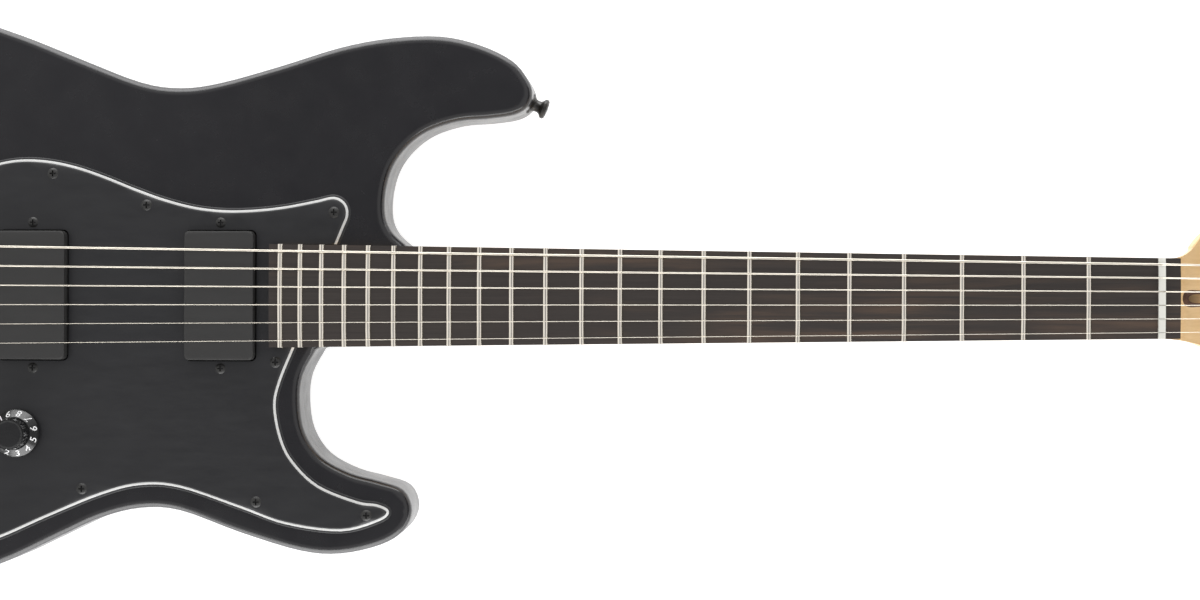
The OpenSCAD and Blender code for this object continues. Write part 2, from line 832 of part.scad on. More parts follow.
// Oval plate with a slanted cup pressed into it; the socket's hole is in the cup's floor
module jack_plate() {
    color(black_metal)
        placed()
            difference() {
                union() {
                    translate([jack_spot[0], jack_spot[1], body_t])
                        rotate(jack_turn)
                            linear_extrude(1.5)
                                polygon([for (a = [0:7.5:352.5])
                                    let (side = sign(sin(a)) * pow(abs(sin(a)), 0.8))
                                    [jack_plate_size[0] / 2 * cos(a), jack_plate_size[1] / 2 * side]]);
                    intersection() {
                        at_jack()
                            cylinder(r = cup_r + jack_wall, h = 60);
                        translate([jack_spot[0] - 50, jack_spot[1] - 50, 0])
                            cube([100, 100, body_t + 0.1]);
                    }
                }
                at_jack()
                    translate([0, 0, jack_wall])
                        cylinder(r = cup_r, h = 60);
                at_jack()
                    translate([0, 0, -1])
                        cylinder(r = jack_bushing_r, h = 10);
                at_jack_screws() oval_screw(screw_r, jack_screw_len, screw_head_r);
            }
}

module jack_socket() {
    color("silver")
        placed()
            at_jack()
                difference() {
                    union() {
                        translate([0, 0, -socket_len])
                            cylinder(r = 7.5, h = socket_len);
                        cylinder(r = jack_bushing_r, h = jack_wall + 3.2);
                    }
                    translate([0, 0, 2 - socket_len])
                        cylinder(r = plug_d / 2 + 0.1, h = 40);
                }
}

module jack_plate_screws() {
    color(black_metal) placed() at_jack_screws() cut_oval_screw(screw_r, jack_screw_len, screw_head_r);
}

// ---- Battery for the active pickups ----

battery_size = [44, 17.5, 26.5];

module battery() {
    color("#30343a")
        placed()
            translate([-2, -69, body_t - cavity_depth]) {
                rounded_plate([battery_size[0], battery_size[1]], 2, 0, battery_size[2]);
                for (s = [-1, 1])
                    translate([battery_size[0] / 2 - 0.01, 0, battery_size[2] / 2 + s * 6.4])
                        rotate([0, 90, 0])
                            cylinder(r = s > 0 ? 3.8 : 2.8, h = 3);
            }
}

// ---- Bridge ----

bridge_front_x = 15;
bridge_back_x = bridge_front_x - bridge_len;
bridge_z = body_t + bridge_t;
flange_t = 2;
flange_h = 9;
intonation_z = bridge_z + 5.2;
intonation_r = 1.4;
intonation_end_x = -11.5;
saddle_back_x = -17;
saddle_front_x = 3;
saddle_floor_z = bridge_z + 1.3;
saddle_wall = 2.4;
height_screw_r = 1.25;
bridge_screw_spots = [for (y = [-36, 0, 36]) [10.6, y]];

module at_bridge_screws() {
    for (p = bridge_screw_spots)
        translate([p[0], p[1], bridge_z])
            children();
}

// Plate with a turned-up rear flange that carries the intonation screws
module bridge_plate() {
    color(black_metal)
        placed()
            difference() {
                union() {
                    translate([(bridge_front_x + bridge_back_x) / 2, 0, 0])
                        rounded_plate([bridge_len, bridge_w], 3, body_t, bridge_z);
                    translate([bridge_back_x, 0, body_t])
                        rotate([0, 90, 0])
                            linear_extrude(flange_t)
                                polygon([[0, 3 - bridge_w / 2], [0, bridge_w / 2 - 3],
                                         [-flange_h + 2, bridge_w / 2 - 3], [-flange_h, bridge_w / 2 - 6],
                                         [-flange_h, 6 - bridge_w / 2], [-flange_h + 2, 3 - bridge_w / 2]]);
                }
                for (i = strings) {
                    translate([ferrule_x, string_y(i, ferrule_x), body_t - 1])
                        cylinder(r = string_hole_r, h = bridge_t + 2);
                    translate([bridge_back_x - 1, string_y(i, 0), intonation_z])
                        rotate([0, 90, 0])
                            cylinder(r = intonation_r, h = flange_t + 2);
                }
                at_bridge_screws() pan_screw(1.7, 25, 3.2, 2);
            }
}

module bridge_screws() {
    color(black_metal) placed() at_bridge_screws() cut_pan_screw(1.7, 25, 3.2, 2);
}

module intonation_screws() {
    color(steel)
        placed()
            for (i = strings)
                translate([bridge_back_x, string_y(i, 0), intonation_z])
                    rotate([0, -90, 0])
                        cut_pan_screw(intonation_r, intonation_end_x - bridge_back_x, 2.6, 2.2);
}

module intonation_springs() {
    color(steel)
        placed()
            for (i = strings)
                translate([bridge_back_x + flange_t, string_y(i, 0), intonation_z])
                    rotate([0, 90, 0])
                        coil(1.8, 2.5, saddle_back_x - bridge_back_x - flange_t, 9);
}

// Block saddle: crowned front, slot for the string, rear wall on the intonation screw, two height screws
module saddle(i) {
    y = string_y(i, 0);
    top_z = saddle_z(i);
    height_screw_y = saddle_w / 2 - 1.9;
    color(black_metal)
        placed()
            translate([0, y, 0]) {
                difference() {
                    rotate([90, 0, 0])
                        translate([0, 0, -saddle_w / 2])
                            linear_extrude(saddle_w)
                                polygon([
                                    [saddle_back_x, saddle_floor_z], [saddle_front_x - 0.8, saddle_floor_z],
                                    [saddle_front_x, saddle_floor_z + 0.8], [saddle_front_x, top_z - 1.4],
                                    [1.8, top_z - 0.4], [0.8, top_z - 0.04], [0, top_z], [-0.8, top_z - 0.06],
                                    [-2.2, top_z - 0.5], [-8, top_z - 1.9], [saddle_back_x, top_z - 2.2]
                                ]);
                    translate([saddle_back_x + saddle_wall, -1.3, saddle_floor_z - 1])
                        cube([-saddle_back_x - saddle_wall - 2.6, 2.6, 20]);
                    translate([saddle_back_x - 1, 0, intonation_z])
                        rotate([0, 90, 0])
                            cylinder(r = intonation_r + running, h = saddle_wall + 6);
                    for (s = [-1, 1])
                        translate([-6, s * height_screw_y, saddle_floor_z - 1])
                            cylinder(r = height_screw_r + fit, h = 20);
                }
                for (s = [-1, 1])
                    translate([-6, s * height_screw_y, bridge_z + running])
                        difference() {
                            cylinder(r = height_screw_r, h = top_z - 2.6 - bridge_z);
                            translate([0, 0, top_z - 3.8 - bridge_z])
                                cylinder(r = 0.7, h = 5, $fn = 6);
                        }
            }
}

module string_ferrules() {
    color(black_metal)
        placed()
            for (i = strings)
                translate([ferrule_x, string_y(i, ferrule_x), 0])
                    difference() {
                        union() {
                            cylinder(r = ferrule_r, h = ferrule_h);
                            cylinder(r = ferrule_flange_r, h = 1.2);
                        }
                        translate([0, 0, -1])
                            cylinder(r = 2.4, h = ferrule_h - 1);
                        translate([0, 0, 2])
                            cylinder(r = string_hole_r, h = ferrule_h);
                    }
}

// ---- Neck ----

rod_r = 3;
rod_z = neck_top_z - 8.2;
rod_start_x = heel_x + 15;
rod_end_x = board_tip_x + 3.4;
scoop_r = 14;
scoop_rise = neck_top_z - head_z;
scoop_x = board_tip_x + sqrt(scoop_r * scoop_r - pow(scoop_r - scoop_rise, 2));
adjuster_room = 10;
tuner_hole_r = 5;

// Smooth step from 0 to 1 between two places
function ease(x, span) =
    let (t = min(max((x - span[0]) / (span[1] - span[0]), 0), 1))
    t * t * (3 - 2 * t);

// Half widths at the headstock's root: steep on the bass side, gentle on the treble side
function flare(x, start, width, power) =
    x > start ? width * pow((x - start) / (root_blend[1] - start), power) : 0;
function bass_half(x) = neck_half(x) + flare(x, scale_length + 2.3, 13.2, 3.5);
function treble_half(x) = neck_half(x) + flare(x, scale_length + 0.3, 3.9, 2);

// Depth of the wood: deep at the heel, thin along the neck, deep again at the headstock
function neck_depth(x) =
    heel_t - 2.7 * ease(x, heel_blend) - 1.7 * ease(x, [heel_blend[1], root_blend[0]])
    + 4.4 * ease(x, root_blend);

// Power of the section's curve: near 0 it is a box, at 1 an ellipse
function neck_power(x) = 0.1 + 0.85 * ease(x, heel_blend) - 0.8 * ease(x, root_blend);

// Half section of the neck below its flat top, from the bass edge round to the treble edge
function neck_section(x) = [
    for (k = [16:-1:0])
        let (a = 180 * k / 16, side = cos(a) >= 0 ? bass_half(x) : treble_half(x))
        [x, side * sign(cos(a)) * pow(abs(cos(a)), neck_power(x)),
         neck_top_z - neck_depth(x) * pow(abs(sin(a)), neck_power(x))]
];

module neck_blank() {
    skin([for (x = neck_stations) neck_section(x)]);
}

module neck() {
    color(maple)
        placed()
            difference() {
                union() {
                    translate([0, 0, pocket_z])
                        linear_extrude(heel_t)
                            polygon([
                                [heel_x, -neck_half(heel_x)],
                                [heel_blend[0], -neck_half(heel_blend[0])],
                                [heel_blend[0], neck_half(heel_blend[0])],
                                [heel_x, neck_half(heel_x)]
                            ]);
                    neck_blank();
                    stepped_solid(headstock_outline(), rounded_steps(pocket_z, head_z, 2, 2));
                }
                head_scoop();
                rod_bore();
                plug_form();
                at_neck_screws() neck_screw_blank();
                for (i = strings)
                    at_post(i, pocket_z - 1)
                        cylinder(r = tuner_hole_r, h = headstock_t + 2);
                at_trees() tree_screw_blank();
            }
}

// Bore for the truss rod, open at the ramp so that a key reaches its end
module rod_bore() {
    translate([rod_start_x, 0, rod_z])
        rotate([0, 90, 0])
            cylinder(r = rod_r, h = scoop_x + adjuster_room - rod_start_x);
}

// Air above the headstock's face, with the round ramp that rises to the fingerboard
module head_scoop() {
    translate([scoop_x, 0, head_z + scoop_r])
        rotate([90, 0, 0])
            cylinder(r = scoop_r, h = 120, center = true, $fn = 96);
    translate([scoop_x, -60, head_z])
        cube([200, 120, 40]);
}

module plug_form() {
    translate([board_tip_x + 4, 0, rod_z + 1])
        rotate([0, 74, 0])
            cylinder(r = 4.6, h = 30, center = true);
}

// Walnut plug let into the ramp, drilled for the rod's adjuster
module headstock_plug() {
    color("#5a3a24")
        placed()
            difference() {
                intersection() {
                    plug_form();
                    neck_blank();
                }
                head_scoop();
                rod_bore();
            }
}

module truss_rod() {
    color("silver")
        placed()
            difference() {
                translate([rod_start_x, 0, rod_z])
                    rotate([0, 90, 0])
                        cylinder(r = rod_r, h = rod_end_x - rod_start_x);
                translate([rod_end_x - 6, 0, rod_z])
                    rotate([0, 90, 0])
                        cylinder(r = 1.8, h = 10, $fn = 6);
            }
}

// Tapered board with a round top, slots for the frets and a slot for the nut
module fingerboard() {
    color(ebony)
        placed()
            difference() {
                intersection() {
                    translate([0, 0, neck_top_z])
                        linear_extrude(fingerboard_t)
                            polygon([
                                [board_end_x, -neck_half(board_end_x)],
                                [board_tip_x, -neck_half(board_tip_x)],
                                [board_tip_x, neck_half(board_tip_x)],
                                [board_end_x, neck_half(board_end_x)]
                            ]);
                    board_crown(fingerboard_r);
                }
                for (n = [1:fret_count])
                    translate([fret_x(n) - fret_slot / 2, -40, board_z - fret_tang])
                        cube([fret_slot, 80, 10]);
                translate([scale_length, -40, board_z - nut_depth])
                    cube([nut_t, 80, 10]);
            }
}

fret_slot = 0.6;
fret_tang = 2.6;
nut_depth = 3.2;

// Long cylinder whose top is the fingerboard's, at the radius r from its axis
module board_crown(r) {
    translate([board_end_x - 5, 0, board_z - fingerboard_r])
        rotate([0, 90, 0])
            cylinder(r = r, h = board_tip_x - board_end_x + 10, $fn = 360);
}

// Fret: a round crown over a thin tang, swept along the fingerboard's radius
module fret(x) {
    half = asin(neck_half(x) / fingerboard_r);
    crown = [for (a = [-90:22.5:90]) [fret_h * cos(a), fret_w / 2 * sin(a)]];
    translate([x, 0, board_z - fingerboard_r])
        rotate([0, 90, 0])
            rotate([0, 0, 180 - half])
                rotate_extrude(angle = 2 * half, $fn = 360)
                    translate([fingerboard_r, 0])
                        polygon(concat([[0, -fret_slot / 2], [-1.2, -fret_slot / 2], [-1.2, fret_slot / 2],
                                        [0, fret_slot / 2]], [for (k = [8:-1:0]) crown[k]]));
}

module frets() {
    color(steel)
        placed()
            for (n = [1:fret_count])
                fret(fret_x(n));
}

module nut() {
    color("ivory")
        placed()
            difference() {
                intersection() {
                    translate([scale_length, -neck_half(scale_length), board_z - nut_depth])
                        cube([nut_t, 2 * neck_half(scale_length), nut_depth + 3.2]);
                    board_crown(fingerboard_r + fret_h + 1);
                }
                for (i = strings)
                    translate([scale_length - 1, string_y(i, scale_length), nut_z(i) + string_r[i]])
                        rotate([0, 90, 0])
                            cylinder(r = string_r[i] + 0.02, h = nut_t + 2);
                for (i = strings)
                    translate([scale_length - 1, string_y(i, scale_length), nut_z(i) + string_r[i]])
                        translate([0, -string_r[i], 0])
                            cube([nut_t + 2, 2 * string_r[i], 5]);
            }
}

module neck_plate() {
    color(black_metal)
        placed()
            difference() {
                translate([plate_spot[0], plate_spot[1], 0])
                    rounded_plate(plate_size, 4, -plate_t, 0);
                at_neck_screws() neck_screw_blank();
            }
}

module neck_screws() {
    color(black_metal)
        placed()
            at_neck_screws()
                difference() {
                    neck_screw_blank();
                    cross_recess(neck_screw_head_r, 0);
                }
}

module strap_buttons() {
    color(black_metal)
        placed()
            at_strap_buttons()
                rotate_extrude()
                    polygon(strap_profile);
}

module strap_screws() {
    color(black_metal)
        placed()
            at_strap_buttons()
                difference() {
                    strap_screw_blank();
                    translate([0, 0, strap_button_h])
                        cross_recess(3.4, 0);
                }
}

// ---- Tuners ----

waist_r = 2.7;
wrap_z = head_z + 6;
post_top_z = head_z + 11;
housing_h = 13;
housing_z = pocket_z - housing_h;
worm_z = housing_z + 6.5;
worm_gap = 0.1;
wheel_r = 6.2;
worm_r = 2.5;
worm_offset = wheel_r + worm_r + worm_gap;
key_shaft_r = 2;
key_reach = 24;
button_len = 13;

string_fit = 0.05;
waist_top_z = wrap_z + 3.7;

function post_x(i) = scale_length + first_post + post_pitch * i;
function post_y(i) = string_y(i, post_x(i)) + waist_r + string_r[i];
row_angle = atan2(post_y(5) - post_y(0), post_x(5) - post_x(0));

// Height that a string still loses from where it passes under the rim of its turns to its post
function entry_drop(i) =
    (nut_z(i) + string_r[i] - wrap_z) / (post_x(i) - scale_length - nut_t / 2)
    * sqrt(pow(waist_r + 2 * string_r[i], 2) - pow(waist_r, 2));

// At a string post, with x along the row of posts and y out to the key
module at_post(i, z) {
    translate([post_x(i), post_y(i), z])
        rotate(row_angle)
            children();
}

module tuner_housings() {
    color(black_metal)
        placed()
            for (i = strings)
                at_post(i, 0)
                    difference() {
                        union() {
                            translate([2.6, 1, 0])
                                stepped_solid(
                                    rounded_loop([20.6, 19.6], 4),
                                    rounded_steps(housing_z, pocket_z, 1.6, 1.6)
                                );
                            translate([worm_offset, 10, worm_z])
                                rotate([-90, 0, 0])
                                    cylinder(r = 3.4, h = 5);
                        }
                        translate([0, 0, worm_z - 2.2])
                            cylinder(r = wheel_r + 0.3, h = 4.4);
                        translate([0, 0, housing_z + 1.5])
                            cylinder(r = 1.8 + running, h = 5);
                        translate([0, 0, worm_z])
                            cylinder(r = post_r + running, h = 20);
                        translate([worm_offset, -7.2, worm_z])
                            rotate([-90, 0, 0])
                                cylinder(r = worm_r + 0.2, h = 14.4);
                        translate([worm_offset, 0, worm_z])
                            rotate([-90, 0, 0])
                                cylinder(r = key_shaft_r + running, h = 20);
                    }
}

// Threaded bushing and washer that clamp a housing to the headstock
module tuner_bushings() {
    color(black_metal)
        placed()
            for (i = strings)
                at_post(i, 0)
                    difference() {
                        union() {
                            translate([0, 0, pocket_z])
                                cylinder(r = tuner_hole_r, h = headstock_t);
                            translate([0, 0, head_z])
                                cylinder(r = 7, h = 0.8);
                            translate([0, 0, head_z + 0.8])
                                cylinder(r = 6, h = 1.6, $fn = 6);
                        }
                        translate([0, 0, pocket_z - 1])
                            cylinder(r = post_r + running, h = headstock_t + 5);
                    }
}

// Key: worm and shaft, oval button with domed edges, and the button's screw
module tuner_key(i) {
    reach = worm_offset;
    color(black_metal)
        placed()
            at_post(i, worm_z)
                translate([reach, 0, 0])
                    rotate([-90, 0, 0]) {
                        translate([0, 0, -7])
                            rotate_extrude()
                                polygon(concat(
                                    [[0, 0], [key_shaft_r, 0]],
                                    [for (k = [0:4])
                                        for (p = [[key_shaft_r - 0.2, 1], [worm_r, 2], [worm_r, 2.4]])
                                            p + [0, 2.4 * k]],
                                    [[key_shaft_r, 13.4], [key_shaft_r, key_reach + 7 + button_len - 2],
                                     [0, key_reach + 7 + button_len - 2]]
                                ));
                        difference() {
                            intersection() {
                                translate([0, 0, key_reach + button_len / 2])
                                    rotate([90, 0, 0])
                                        linear_extrude(7.2, center = true)
                                            polygon([for (a = [0:10:350])
                                                [9.6 * sign(cos(a)) * pow(abs(cos(a)), 0.8),
                                                 button_len / 2 * sign(sin(a)) * pow(abs(sin(a)), 0.8)]]);
                                translate([0, 0, key_reach + button_len / 2])
                                    sphere(r = 9.9, $fn = 64);
                            }
                            cylinder(r = key_shaft_r + fit, h = key_reach + button_len - 2);
                            translate([0, 0, key_reach + button_len - 2])
                                cylinder(r = 2.2 + fit, h = 5);
                        }
                        translate([0, 0, key_reach + button_len - 2 + fit])
                            difference() {
                                cylinder(r = 2.2, h = 2.3);
                                cross_recess(2.2, 2.3);
                            }
                    }
}

// String post: wheel, journals, waist for the string, and the turns of string wound on it
module tuner_post(i) {
    wire_r = string_r[i];
    turns = wire_r > 0.5 ? 2 : 3;
    tooth = 360 / wheel_teeth;
    color(steel)
        placed()
            at_post(i, 0) {
                translate([0, 0, worm_z - 2])
                    linear_extrude(4)
                        polygon([
                            for (k = [0:wheel_teeth - 1])
                                for (s = [[-0.3, 0], [-0.14, 1], [0.14, 1], [0.3, 0]])
                                    let (r = wheel_r - 1.1 + 1.1 * s[1], a = tooth * (k + s[0]))
                                    r * [cos(a), sin(a)]
                        ]);
                difference() {
                    rotate_extrude()
                        polygon([
                            [0, housing_z + 1.7], [1.8, housing_z + 1.7], [1.8, worm_z - 2], [3, worm_z - 2],
                            [3, worm_z + 2], [post_r, worm_z + 2], [post_r, wrap_z - 2.4],
                            [waist_r, wrap_z - 1.6], [waist_r, waist_top_z], [post_r, waist_top_z + 0.5],
                            [post_r, post_top_z - 0.6], [post_r - 0.6, post_top_z], [0, post_top_z]
                        ]);
                    translate([0, 0, post_top_z - 3])
                        cylinder(r = 1.1, h = 4);
                    translate([0, 0, post_top_z - 1.2])
                        cube([0.9 + wire_r, 10, 3], center = true);
                }
                translate([0, 0, wrap_z + string_fit + entry_drop(i)])
                    rotate_extrude()
                        polygon(concat(
                            [[waist_r + fit, (2 * turns + 1) * wire_r], [waist_r + fit, wire_r]],
                            [for (k = [1:turns]) for (a = [-72:24:72])
                                [waist_r + wire_r + wire_r * cos(a), 2 * k * wire_r + wire_r * sin(a)]]
                        ));
            }
}

// ---- String trees ----

tree_spots = [
    [[scale_length + 52, (string_y(2, scale_length + 52) + string_y(3, scale_length + 52)) / 2], 7.6],
    [[scale_length + 97, (string_y(4, scale_length + 97) + string_y(5, scale_length + 97)) / 2], 5.8]
];

module tree_screw_blank() {
    pan_screw(1.2, 20, 2.2, 1.6);
}

module at_trees() {
    for (t = tree_spots)
        translate([t[0][0], t[0][1], head_z + t[1] + 1.4])
            children();
}

// Round retainer: a stem and a cap that holds two strings down, with a screw through it
module string_trees() {
    color(black_metal)
        placed() {
            for (t = tree_spots)
                translate([t[0][0], t[0][1], head_z])
                    rotate_extrude()
                        polygon([[1.2, 0], [2.4, 0], [2, 1.5], [2, t[1] - 0.5], [2.4, t[1]], [5, t[1]],
                                 [5.4, t[1] + 0.5], [4.8, t[1] + 1.1], [2.4, t[1] + 1.4], [1.2, t[1] + 1.4]]);
            at_trees() cut_pan_screw(1.2, 20, 2.2, 1.6);
        }
}

// ---- Strings ----

ball_r = 2;
break_x = -3.4;
tree_reach = 4.6;
wrap_step = 30;

// Where a string bends, with its radius: ball end, bridge plate, saddle, nut, tree, and round the post
function string_path(i) =
    let (
        r = string_r[i],
        y0 = string_y(i, ferrule_x),
        tree = i == 2 || i == 3 ? tree_spots[0] : i > 3 ? tree_spots[1] : undef,
        tree_xs = is_undef(tree) ? [] : [tree[0][0] - tree_reach, tree[0][0] + tree_reach],
        nut_point = [scale_length + nut_t / 2, string_y(i, scale_length + nut_t / 2), nut_z(i) + r, r],
        bend_r = waist_r + r + string_fit,
        corner_r = bend_r / cos(wrap_step / 2)
    )
    concat(
        [[ferrule_x, y0, 2.2, ball_r], [ferrule_x, y0, 4.9, ball_r], [ferrule_x, y0, 5, r],
         [ferrule_x, y0, bridge_z + 0.5, r], [break_x, string_y(i, break_x), saddle_z(i) - 0.25 + r, r],
         [0, string_y(i, 0), saddle_z(i) + r + string_fit, r], nut_point],
        [for (x = tree_xs) [x, string_y(i, x), head_z + tree[1] - r - string_fit, r]],
        [for (a = [wrap_step / 2:wrap_step:120])
            [post_x(i) + corner_r * sin(a), post_y(i) - corner_r * cos(a), wrap_z, r]],
        [[post_x(i) + bend_r * sin(120), post_y(i) - bend_r * cos(120), wrap_z, r]]
    );

module string(i) {
    color(steel)
        placed()
            wire(string_path(i));
}

module wound_strings() {
    for (i = [0:2])
        string(i);
}

module plain_strings() {
    for (i = [3:5])
        string(i);
}

body();
pickguard_top_ply();
pickguard_white_ply();
pickguard_base_ply();
pickguard_screws();
pickup_height_screws();
neck_pickup_springs();
bridge_pickup_springs();
neck_pickup();
bridge_pickup();
volume_pot();
pot_shaft();
control_nuts();
volume_knob();
selector_frame();
selector_screws();
selector_lever();
selector_tip();
jack_plate();
jack_socket();
jack_plate_screws();
battery();
bridge_plate();
bridge_screws();
intonation_screws();
intonation_springs();
string_ferrules();
saddle(0);  // saddle_1
saddle(1);  // saddle_2
saddle(2);  // saddle_3
saddle(3);  // saddle_4
saddle(4);  // saddle_5
saddle(5);  // saddle_6
neck();
fingerboard();
frets();
nut();
truss_rod();
headstock_plug();
string_trees();
neck_plate();
neck_screws();
strap_buttons();
strap_screws();
tuner_housings();
tuner_bushings();
tuner_key(0);  // tuner_key_1
tuner_key(1);  // tuner_key_2
tuner_key(2);  // tuner_key_3
tuner_key(3);  // tuner_key_4
tuner_key(4);  // tuner_key_5
tuner_key(5);  // tuner_key_6
tuner_post(0);  // tuner_post_1
tuner_post(1);  // tuner_post_2
tuner_post(2);  // tuner_post_3
tuner_post(3);  // tuner_post_4
tuner_post(4);  // tuner_post_5
tuner_post(5);  // tuner_post_6
wound_strings();
plain_strings();
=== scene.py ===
"""Dresses the electric guitar: finishes, dial numbers, strap buttons, floor, light and camera."""
import json
import math

import bpy
import numpy as np
from mathutils import Matrix, Vector


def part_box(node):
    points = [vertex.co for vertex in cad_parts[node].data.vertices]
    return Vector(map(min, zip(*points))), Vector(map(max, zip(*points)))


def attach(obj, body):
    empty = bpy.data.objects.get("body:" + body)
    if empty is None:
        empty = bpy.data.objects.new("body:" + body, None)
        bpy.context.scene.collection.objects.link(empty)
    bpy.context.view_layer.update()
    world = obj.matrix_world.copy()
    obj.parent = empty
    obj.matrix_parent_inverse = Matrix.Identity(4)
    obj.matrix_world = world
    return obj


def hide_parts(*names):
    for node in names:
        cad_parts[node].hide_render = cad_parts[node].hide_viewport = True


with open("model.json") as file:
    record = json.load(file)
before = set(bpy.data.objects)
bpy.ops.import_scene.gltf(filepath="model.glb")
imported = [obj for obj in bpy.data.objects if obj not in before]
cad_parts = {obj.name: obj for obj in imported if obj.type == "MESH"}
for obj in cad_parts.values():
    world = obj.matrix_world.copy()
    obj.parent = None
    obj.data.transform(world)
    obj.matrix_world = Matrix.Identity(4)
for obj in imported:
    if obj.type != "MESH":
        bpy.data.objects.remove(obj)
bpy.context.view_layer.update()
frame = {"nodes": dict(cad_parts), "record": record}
MM = 0.001

# ---- Light: surroundings, soft boxes (name, place, size, watts) and the dark flag ----
# The surroundings go from the side colour to the overhead one between two heights of the direction.
SIDE_LIGHT, OVERHEAD_LIGHT = (0.95, 0.95, 0.95), (0.3, 0.3, 0.32)
SIDE_LIGHT_TOP, OVERHEAD_LIGHT_EDGE = 0.88, 0.98
SOFT_BOXES = (
    ("soft_bass_side", (-0.1, 1.9, 0.5), (2.4, 0.9), 36),
    ("soft_treble_side", (0.1, -1.9, 0.5), (2.4, 0.9), 36),
)
FLAG_SIZE = (2.6, 1.3)
FLAG_PLACE = (2.4, 0, 0.66)

# ---- The guitar's own axes: saddle line, centre line and body back ----
SCALE_LENGTH = 647.7
nut_low, nut_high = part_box("nut")
body_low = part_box("body")[0]
ORIGIN = Vector((nut_low[0] - SCALE_LENGTH * MM, (nut_low[1] + nut_high[1]) / 2, body_low[2]))


def at(x, y, z):
    """A place given in millimetres from the saddle line, centre line and body back."""
    return ORIGIN + Vector((x, y, z)) * MM


# ---- Camera: above the fingerboard, looking straight down ----
CAMERA_PLACE = at(395.6, -1.5, 1354.9)
CAMERA_YAW, CAMERA_PITCH, CAMERA_ROLL = (math.radians(a) for a in (1.88, -0.01, 0.18))
FOCAL_PIXELS = 2448
IMAGE_WIDTH = 1200
SENSOR = 36
CLIP_NEAR, CLIP_FAR = 0.01, 50


def add_camera():
    """The camera of the main view."""
    data = bpy.data.cameras.new("camera")
    data.sensor_width = SENSOR
    data.lens = FOCAL_PIXELS * SENSOR / IMAGE_WIDTH
    data.clip_start, data.clip_end = CLIP_NEAR, CLIP_FAR
    camera = bpy.data.objects.new("camera", data)
    turn = (
        Matrix.Rotation(CAMERA_YAW, 4, "Y")
        @ Matrix.Rotation(CAMERA_PITCH, 4, "X")
        @ Matrix.Rotation(CAMERA_ROLL, 4, "Z")
    )
    camera.matrix_world = Matrix.Translation(CAMERA_PLACE) @ turn
    bpy.context.scene.collection.objects.link(camera)
    bpy.context.scene.camera = camera


# ---- Pieces and tones ----


def new_piece(name, points, faces, material=None):
    """A piece from its points and faces, linked to the scene."""
    mesh = bpy.data.meshes.new(name)
    mesh.from_pydata(points, [], faces)
    if material:
        mesh.materials.append(material)
    piece = bpy.data.objects.new(name, mesh)
    bpy.context.scene.collection.objects.link(piece)
    return piece


def shades(color, low, high):
    """A darker and a lighter tone of one colour."""
    return tuple(c * low for c in color), tuple(min(1, c * high) for c in color)


# ---- Shading helpers ----


class Shader:
    """A Principled material with short calls for procedural nodes."""

    def __init__(self, name, color, roughness, metallic=0.0, specular=0.5, coat=0.0, coat_roughness=0.2):
        self.material = bpy.data.materials.new(name)
        self.material.use_nodes = True
        self.nodes = self.material.node_tree.nodes
        self.links = self.material.node_tree.links
        self.main = self.nodes["Principled BSDF"]
        self.set("Base Color", (*color, 1))
        self.set("Roughness", roughness)
        self.set("Metallic", metallic)
        self.set("Specular IOR Level", specular)
        self.set("Coat Weight", coat)
        self.set("Coat Roughness", coat_roughness)
        self.coords = self.nodes.new("ShaderNodeTexCoord").outputs["Object"]

    def set(self, socket, value):
        self.main.inputs[socket].default_value = value

    def link(self, output, socket):
        self.links.new(output, self.main.inputs[socket])

    def stretched(self, scale):
        mapping = self.nodes.new("ShaderNodeMapping")
        mapping.inputs["Scale"].default_value = scale
        self.links.new(self.coords, mapping.inputs["Vector"])
        return mapping.outputs["Vector"]

    def noise(self, scale, detail=3.0, roughness=0.5, stretch=(1, 1, 1), distortion=0.0):
        node = self.nodes.new("ShaderNodeTexNoise")
        node.inputs["Scale"].default_value = scale
        node.inputs["Detail"].default_value = detail
        node.inputs["Roughness"].default_value = roughness
        node.inputs["Distortion"].default_value = distortion
        self.links.new(self.stretched(stretch), node.inputs["Vector"])
        return node.outputs["Fac"]

    def wave(self, scale, direction="X", distortion=0.0, detail=2.0, stretch=(1, 1, 1)):
        node = self.nodes.new("ShaderNodeTexWave")
        node.bands_direction = direction
        node.inputs["Scale"].default_value = scale
        node.inputs["Distortion"].default_value = distortion
        node.inputs["Detail"].default_value = detail
        self.links.new(self.stretched(stretch), node.inputs["Vector"])
        return node.outputs["Fac"]

    def ramp(self, value, stops):
        """A colour ramp; each stop is (place, colour) and a single number stands for a grey."""
        node = self.nodes.new("ShaderNodeValToRGB")
        elements = node.color_ramp.elements
        while len(elements) < len(stops):
            elements.new(0.5)
        for element, (place, color) in zip(elements, stops):
            element.position = place
            grey = isinstance(color, (int, float))
            element.color = (color, color, color, 1) if grey else (*color, 1)
        self.links.new(value, node.inputs["Fac"])
        return node.outputs["Color"]

    def mix(self, factor, a, b, mode="MIX"):
        """Mix of two colours; each may be an output or a fixed colour, and so may the factor."""
        node = self.nodes.new("ShaderNodeMix")
        node.data_type = "RGBA"
        node.blend_type = mode
        for socket, value in ((node.inputs[0], factor), (node.inputs[6], a), (node.inputs[7], b)):
            if isinstance(value, bpy.types.NodeSocket):
                self.links.new(value, socket)
            elif isinstance(value, tuple):
                socket.default_value = (*value, 1)
            else:
                socket.default_value = value
        return node.outputs[2]

    def bump(self, height, strength, distance):
        node = self.nodes.new("ShaderNodeBump")
        node.inputs["Strength"].default_value = strength
        node.inputs["Distance"].default_value = distance
        self.links.new(height, node.inputs["Height"])
        self.links.new(node.outputs["Normal"], self.main.inputs["Normal"])


# ---- Materials ----


